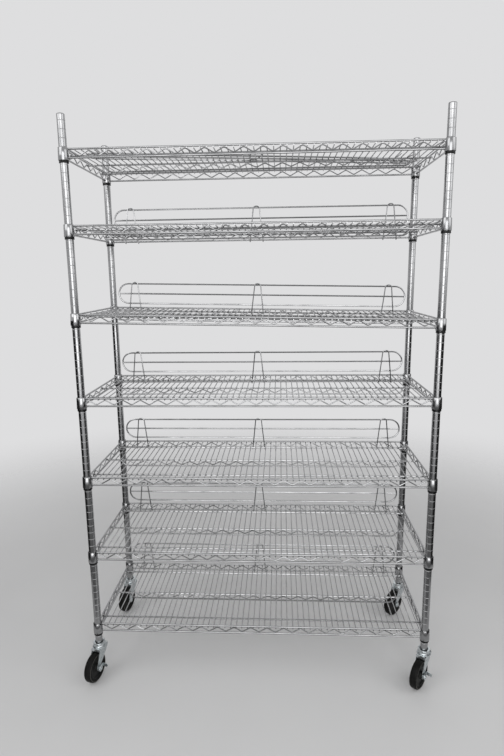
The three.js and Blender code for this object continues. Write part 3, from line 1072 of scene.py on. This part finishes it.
@dataclass(frozen=True)
class Caster:
    """Swivel caster with stem, fork and wheel, and a brake lever on the front pair.

    The fields named edge, flank or lip are pairs: how far a point lies in from the widest radius,
    and how far up from the foot or down from the top.
    """

    grid: Grid
    trail: float = 36.0
    clearance: float = 0.3
    crease_deg: float = 30.0
    axle: float = 8.0
    axle_height: float = 51.0
    axle_sides: int = 20
    bolt_chamfer: float = 0.6
    bolt_end: float = 1.6
    nut_radius: float = 11.0
    nut_height: float = 6.0
    nut_sides: int = 6
    nut_foot_edge: tuple[Pair, ...] = ((0.9, 0.0), (0.0, 0.5))
    nut_top_edge: tuple[Pair, ...] = ((0.0, 1.0), (1.2, 0.0))
    crown_foot: float = 105.0
    crown_top: float = 117.0
    crown_sides: int = 40
    boss_radius: float = 24.0
    boss_over: float = 0.5
    boss_edge: tuple[Pair, ...] = ((2.4, 5.0), (0.6, 4.2), (0.0, 2.8), (0.2, 0.9), (1.2, 0.0))
    plate_top: float = 126.7
    cup_radius: float = 22.0
    cup_flank: tuple[Pair, ...] = ((1.2, 0.0), (0.3, 0.4), (0.0, 1.4), (0.0, 3.0), (0.9, 4.2),
                                   (1.3, 6.0))
    cup_lip: tuple[Pair, ...] = ((1.2, 2.4), (0.7, 1.2), (1.1, 0.3), (2.0, 0.0))
    cup_bore: float = 15.0
    cup_chamfer: float = 0.9
    cup_rim: float = 5.0
    stem_radius: float = 10.9
    stem_length: float = 44.0
    leg_inner: float = 15.3
    leg_plate: float = 2.5
    channel_half: float = 26.0
    channel_bend: float = 5.5
    ceiling_drop: float = 1.5
    shoulder_drop: float = 1.0
    eye: float = 10.0
    eye_arc_deg: Pair = (175.0, 365.0)
    # Ways from the axle to where the leg's two edges meet its round eye.
    eye_back: Pair = (-0.94, 0.34)
    eye_front: Pair = (0.99, 0.14)
    # Points, along the travel and up, that the edges leave the channel towards.
    pull_back: Pair = (-1.0, 80.0)
    pull_front: Pair = (35.0, 80.0)
    fork_bevel: float = 0.5
    # Halves of the wheel's turned sections: radius, and width from the wheel's middle.
    tyre_half: tuple[Pair, ...] = (
        (36.6, 10.4), (38.0, 11.6), (40.4, 11.4), (42.6, 11.0), (44.4, 11.2), (45.4, 12.6),
        (46.6, 13.0), (47.8, 12.7), (49.2, 11.4), (50.2, 9.4), (50.8, 6.4), (51.0, 2.8))
    core_half: tuple[Pair, ...] = (
        (4.4, 15.0), (10.6, 15.0), (12.0, 13.8), (12.8, 10.4), (15.5, 8.2), (31.0, 6.8),
        (33.6, 8.0), (34.6, 10.6), (37.6, 10.8))
    wheel_sides: int = 56
    # Radii of the tyre's shoulder band: scuffed rubber, with a painted highlight.
    shoulder_scuff_and_highlight_band: Pair = (45.6, 48.4)
    brake_plate: float = 2.0
    brake_arm: float = 22.0
    brake_half: float = 6.5
    brake_pedal: float = 22.0
    pedal_round: float = 5.0
    pedal_split: float = 0.05
    pedal_inset: float = 0.2
    brake_bevel: float = 0.4

    @property
    def leg_outer(self) -> float:
        """Outer face of the fork's legs from the wheel's middle."""
        return self.leg_inner + self.leg_plate

    @property
    def roof(self) -> float:
        """Top of the bent channel, a little under the top of its boss."""
        return self.crown_top - self.boss_over

    @property
    def knee(self) -> float:
        """Height at which the channel's bends start."""
        return self.roof - self.channel_bend

    @property
    def along_axle(self) -> Matrix:
        """Turning axis along the axle."""
        hub = Matrix.Translation((self.trail, 0, self.axle_height))
        return hub @ Matrix.Rotation(-QUARTER, 4, "X")

    def stem(self) -> Form:
        """Builds the raceway cup, in which the post stands, and the stem inside the post.

        Returns:
            The stem with its cup.
        """
        foot, rim = self.crown_top + self.clearance, self.plate_top + self.cup_rim
        wide, bore = self.cup_radius, self.cup_bore
        floor, top = self.plate_top, self.plate_top + self.stem_length
        outline = [
            (0, foot), *((wide - inset, foot + up) for inset, up in self.cup_flank),
            *((wide - inset, rim - down) for inset, down in self.cup_lip),
            (bore + self.cup_chamfer, rim), (bore, rim - self.cup_chamfer), (bore, floor),
            (self.stem_radius, floor), (self.stem_radius, top), (0, top),
        ]
        return Form().turned(outline, self.crown_sides)

    def leg(self) -> list[Pair]:
        """Draws a fork leg, as wide as the channel at the top and round about the axle.

        Returns:
            The leg's outline, along the travel and up.
        """
        eye, wide = Vector((self.trail, self.axle_height)), self.channel_half
        shoulder = self.crown_foot - self.shoulder_drop
        first, last = (math.radians(angle) for angle in self.eye_arc_deg)
        back = curve(Vector((-wide, shoulder)), Vector(self.pull_back),
                     eye + self.eye * Vector(self.eye_back), steps=8)
        front = curve(eye + self.eye * Vector(self.eye_front), Vector(self.pull_front),
                      Vector((wide, shoulder)), steps=8)
        return [(-wide, self.knee), *((p.x, p.y) for p in back),
                *arc((eye.x, eye.y), self.eye, first, last, count=14),
                *((p.x, p.y) for p in front), (wide, self.knee)]

    def channel(self, form: Form) -> None:
        """Adds the bent roof between the legs, its two end lips and the raceway boss on top.

        Args:
            form: the fork's form.
        """
        wide, inner, knee, plate = self.channel_half, self.leg_inner, self.knee, self.leg_plate
        middle, ceiling = self.leg_outer - self.channel_bend, self.roof - self.ceiling_drop
        over, under = (arc((middle, knee), radius, 0.0, QUARTER, count=6)
                       for radius in (self.channel_bend, self.channel_bend - plate))
        section = [*over, *((-y, z) for y, z in reversed(over)), *((-y, z) for y, z in under),
                   *reversed(under)]
        form.skin([[Vector((x, y, z)) for y, z in section] for x in (-wide, wide)])
        lip = [(-inner, self.crown_foot), (inner, self.crown_foot), (inner, knee),
               (middle, ceiling), (-middle, ceiling), (-inner, knee)]
        for start in (-wide, wide - plate):
            form.pressing(lip, plate, Matrix.Translation((start, 0, 0)) @ ACROSS_TRAVEL)
        flank = [(self.boss_radius - inset, self.crown_top - down)
                 for inset, down in self.boss_edge]
        form.turned([(0, flank[0][1]), *flank, (0, self.crown_top)], self.crown_sides)

    def fork(self, nut_seat: float) -> Form:
        """Builds the channel, the legs and the axle bolt with its head and nut.

        Args:
            nut_seat: where the nut sits, from the wheel's middle.

        Returns:
            The fork.
        """
        form, at = Form(), self.along_axle
        self.channel(form)
        for start in (-self.leg_outer, self.leg_inner):
            form.pressing(self.leg(), self.leg_plate,
                          Matrix.Translation((0, start, 0)) @ ALONG_TRAVEL)
        radius, high, round_off = self.axle / 2, self.nut_height, self.bolt_chamfer
        head, tip = -self.leg_outer - high - round_off, nut_seat + high + self.bolt_end
        form.turned([(0, head), (radius, head), (radius, tip - round_off),
                     (radius - round_off, tip), (0, tip)], self.axle_sides, at)
        for foot in (-self.leg_outer - high, nut_seat):
            rise = [(self.nut_radius - inset, foot + up) for inset, up in self.nut_foot_edge]
            fall = [(self.nut_radius - inset, foot + high - down)
                    for inset, down in self.nut_top_edge]
            form.turned([(radius, foot), *rise, *fall, (radius, foot + high)], self.nut_sides, at)
        return form

    def wheel_ring(self, half: Sequence[Pair]) -> Form:
        """Turns a part of the wheel about the axle.

        Args:
            half: one half of its section, outwards: radius and width pairs.

        Returns:
            The tyre or the core.
        """
        outline = [(r, -w) for r, w in half] + [(r, w) for r, w in reversed(half)]
        return Form().turned(outline, self.wheel_sides, self.along_axle)

    def scuff_and_highlight_shoulders(self, mesh: Mesh, material: Material) -> None:
        """Gives the tyre's shoulders a lighter band: scuffed, dusty rubber and a painted highlight
        along the shoulder.

        Args:
            mesh: the tyre's mesh.
            material: the lighter rubber, which is scuff and dust and also a painted highlight.
        """
        mesh.materials.append(material)
        inner, outer = self.shoulder_scuff_and_highlight_band
        for face in mesh.polygons:
            arm = face.center / MM - Vector((self.trail, 0, self.axle_height))
            if inner < math.hypot(arm.x, arm.z) < outer:
                face.material_index = 1

    def lever(self) -> Form:
        """Builds the brake lever: an eye on the axle, an arm and a pedal turned outwards.

        Returns:
            The lever.
        """
        form, start, half = Form(), self.leg_outer + self.clearance, self.brake_half
        hub, far = (self.trail, self.axle_height), self.trail - self.brake_arm
        arm = [*arc(hub, half, -QUARTER, QUARTER, count=12), (far, hub[1] + half),
               (far, hub[1] - half)]
        form.pressing(arm, self.brake_plate, Matrix.Translation((0, start, 0)) @ ALONG_TRAVEL)
        bend, split = self.pedal_round, self.pedal_split
        nose, corner = start + self.brake_pedal - bend, half - bend
        pedal = [(start + self.pedal_inset, -half),
                 *arc((nose, -corner), bend, -QUARTER, -split, count=6),
                 *arc((nose, corner), bend, split, QUARTER, count=6),
                 (start + self.pedal_inset, half)]
        form.pressing(pedal, self.brake_plate, Matrix.Translation((far, 0, hub[1])) @ ACROSS_TRAVEL)
        return form

    def dress(self, finishes: FinishBook) -> None:
        """Puts the four casters in place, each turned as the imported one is.

        Args:
            finishes: the rack's materials.
        """
        stem = self.stem().mesh("caster_stem", finishes.zinc, self.crease_deg)
        plain_fork = self.fork(self.leg_outer).mesh("caster_fork", finishes.zinc, self.crease_deg)
        nut_seat = self.leg_outer + self.brake_plate + 2 * self.clearance
        braked_fork = self.fork(nut_seat).mesh("caster_fork_with_brake", finishes.zinc,
                                               self.crease_deg)
        tyre = self.wheel_ring(self.tyre_half).mesh("caster_tyre", finishes.tyre)
        # The shoulders get a lighter band that holds scuff and a painted highlight.
        self.scuff_and_highlight_shoulders(tyre, finishes.scuffed_and_highlight_rubber)
        core = self.wheel_ring(self.core_half).mesh("caster_core", finishes.core, self.crease_deg)
        lever = self.lever().mesh("brake_lever", finishes.zinc, self.crease_deg)
        spins = {joint["name"]: joint["axis"] for joint in frame["joints"]}
        for corner in Corner:
            name = corner.value
            axis = spins[f"wheel_spin_{name}"]
            place = Matrix.Translation(self.grid.post(corner) * MM)
            at = place @ Matrix.Rotation(math.atan2(axis[1], axis[0]) - QUARTER, 4, "Z")
            Piece(f"raceway_stem_{name}", stem, Slot.ZINC, (f"caster_stem_{name}",),
                  at=place).put()
            Piece(f"pressed_fork_{name}", braked_fork if corner.has_brake else plain_fork,
                  Slot.ZINC, (f"caster_fork_{name}",), f"swivel_{name}", at,
                  self.fork_bevel).put()
            Piece(f"tyre_{name}", tyre, Slot.RUBBER, (f"caster_wheel_{name}",), f"wheel_{name}",
                  at).put()
            Piece(f"wheel_core_{name}", core, Slot.RUBBER, (), f"wheel_{name}", at).put()
            if corner.has_brake:
                Piece(f"brake_tab_{name}", lever, Slot.ZINC, (f"brake_lever_{name}",),
                      f"brake_{name}", at, self.brake_bevel).put()


def sheet(name: str, wide: Vector, far: Vector, material: Material) -> bpy.types.Object:
    """Makes a flat sheet about its own middle.

    Args:
        name: the sheet's name.
        wide: the way from its middle to one side.
        far: the way from its middle to the next side.
        material: its finish.

    Returns:
        The sheet, in the scene.
    """
    mesh = bpy.data.meshes.new(name)
    mesh.from_pydata([-wide - far, wide - far, wide + far, far - wide], [], [(0, 1, 2, 3)])
    mesh.materials.append(material)
    return show(name, mesh)


@dataclass(frozen=True)
class Lamp:
    """A soft panel light aimed at a point."""

    name: str
    place: Triple
    target: Triple
    size: float
    watts: float

    def put(self) -> None:
        """Hangs the panel."""
        light = bpy.data.lights.new(self.name, "AREA")
        light.shape = "SQUARE"
        light.size = self.size
        light.energy = self.watts
        lamp = show(self.name, light)
        lamp.location = self.place
        aim = Vector(self.target) - Vector(self.place)
        lamp.rotation_euler = aim.to_track_quat("-Z", "Y").to_euler()
        lamp.visible_camera = False


@dataclass(frozen=True)
class Flag:
    """A grey felt card outside the picture, which gives bright metal its dark tones."""

    name: str
    place: Triple
    half_width: Triple
    half_length: Triple
    grey: str

    def put(self) -> None:
        """Sets the card up, seen by mirrors alone."""
        material, tree, shader = new_material("grey_felt_card")
        feed(tree, shader, {"Base Color": linear(self.grey), "Roughness": 1.0,
                            "Specular IOR Level": 0.0})
        card = sheet(self.name, Vector(self.half_width), Vector(self.half_length), material)
        card.location = self.place
        card.visible_camera = False
        card.visible_diffuse = False
        card.visible_shadow = False


@dataclass(frozen=True)
class Studio:
    """Plain pale floor, soft light and the camera at the photograph's viewing angle."""

    floor_size: float = 8.0
    floor_solid: float = 1.2
    floor_gone: float = 3.6
    floor_colour: str = "#D1D1D1"
    floor_rough: float = 0.7
    floor_cloud_mm: float = 600.0
    floor_tones: Pair = (0.94, 1.03)
    wall_colour: str = "#DEDEDF"
    fill_strength: float = 0.55
    lamp_target: Triple = (0.0, 0.0, 0.95)
    sensor_mm: float = 36.0
    image_height: float = 756.0
    focal_px: float = 538.7
    far_clip: float = 100.0
    camera_place: Triple = (0.0807, -1.9087, 1.4397)
    yaw_deg: float = 3.01
    pitch_deg: float = 10.78
    roll_deg: float = -0.73

    def floor(self) -> None:
        """Lays a pale sealed floor with faint trowel clouds, which fades into the surroundings."""
        material, tree, shader = new_material("sealed_pale_screed")
        place = add_node(tree, "ShaderNodeTexCoord").outputs["Object"]
        away = add_node(tree, "ShaderNodeVectorMath", {0: place}, operation="LENGTH")
        cover = add_node(tree, "ShaderNodeMapRange",
                         {"Value": away.outputs["Value"], "From Min": self.floor_solid,
                          "From Max": self.floor_gone, "To Min": 1.0, "To Max": 0.0},
                         interpolation_type="SMOOTHSTEP")
        clouds = add_node(tree, "ShaderNodeTexNoise",
                          {"Vector": place, "Scale": per_metre(self.floor_cloud_mm),
                           "Detail": 5.0})
        tone = add_node(tree, "ShaderNodeMapRange",
                        {"Value": clouds.outputs[0], "To Min": self.floor_tones[0],
                         "To Max": self.floor_tones[1]})
        colour = add_node(tree, "ShaderNodeVectorMath",
                          {0: linear(self.floor_colour)[:3], "Scale": tone.outputs[0]},
                          operation="SCALE")
        feed(tree, shader, {"Roughness": self.floor_rough, "Alpha": cover.outputs[0],
                            "Base Color": colour.outputs[0]})
        half = self.floor_size / 2
        floor = sheet("studio_floor", Vector((half, 0, 0)), Vector((0, half, 0)), material)

    def surroundings(self) -> None:
        """Makes the pale surroundings, which cameras and mirrors see at full strength."""
        world = bpy.data.worlds.new("pale_studio")
        bpy.context.scene.world = world
        world.use_nodes = True
        tree = world.node_tree
        path = add_node(tree, "ShaderNodeLightPath")
        seen = path.outputs["Is Camera Ray"]
        for ray in ("Is Glossy Ray", "Is Transmission Ray"):
            either = add_node(tree, "ShaderNodeMath", {0: seen, 1: path.outputs[ray]},
                              operation="MAXIMUM")
            seen = either.outputs[0]
        strength = add_node(tree, "ShaderNodeMapRange",
                            {"Value": seen, "To Min": self.fill_strength, "To Max": 1.0})
        feed(tree, tree.nodes["Background"], {"Color": linear(self.wall_colour),
                                              "Strength": strength.outputs[0]})

    def lamps(self) -> None:
        """Hangs a front panel behind the camera, a key, a fill and a back panel."""
        for lamp in (
            Lamp("front_panel", (0.1, -3.3, 1.75), self.lamp_target, size=2.8, watts=62.0),
            Lamp("key_panel", (-2.8, -2.2, 3.6), self.lamp_target, size=3.0, watts=52.0),
            Lamp("fill_panel", (3.2, -1.4, 2.8), self.lamp_target, size=3.0, watts=36.0),
            Lamp("back_panel", (0.6, 2.8, 3.8), self.lamp_target, size=3.0, watts=16.0),
        ):
            lamp.put()

    def flags(self) -> None:
        """Stands a dark card at each side of the rack and lays a lighter one in front of it."""
        deep, tall, wide = (0.0, 0.9, 0.0), (0.0, 0.0, 0.62), (1.6, 0.0, 0.0)
        for card in (
            Flag("flag_left", (-1.25, -0.45, 0.63), deep, tall, "#363636"),
            Flag("flag_right", (1.25, -0.45, 0.63), deep, tall, "#363636"),
            Flag("flag_front", (0.0, -1.45, 0.004), wide, deep, "#7C7C7C"),
        ):
            card.put()

    def camera(self) -> None:
        """Sets the camera where the photograph was taken from."""
        data = bpy.data.cameras.new("photo_camera")
        data.sensor_fit = "VERTICAL"
        data.sensor_height = self.sensor_mm
        data.lens = self.focal_px * self.sensor_mm / self.image_height
        data.clip_end = self.far_clip
        camera = show("photo_camera", data)
        camera.matrix_world = (
            Matrix.Translation(self.camera_place)
            @ Matrix.Rotation(math.radians(self.yaw_deg), 4, "Z")
            @ Matrix.Rotation(math.radians(90 - self.pitch_deg), 4, "X")
            @ Matrix.Rotation(math.radians(self.roll_deg), 4, "Z")
        )
        bpy.context.scene.camera = camera

    def build(self) -> None:
        """Builds the whole set."""
        bpy.context.scene.view_settings.view_transform = "Standard"
        self.floor()
        self.surroundings()
        self.lamps()
        self.flags()
        self.camera()


def main() -> None:
    """Builds the studio and the rack."""
    logging.basicConfig(level=logging.INFO, format="%(name)s: %(message)s")
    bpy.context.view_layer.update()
    Studio().build()
    finishes = FinishBook()
    grid = Grid.read()
    shelf = Shelf(grid)
    Post(grid).dress(finishes)
    Sleeve(grid).dress(finishes)
    shelf.dress(finishes)
    Ledge(shelf).dress(finishes)
    Caster(grid).dress(finishes)


if __name__ == "__main__":
    main()
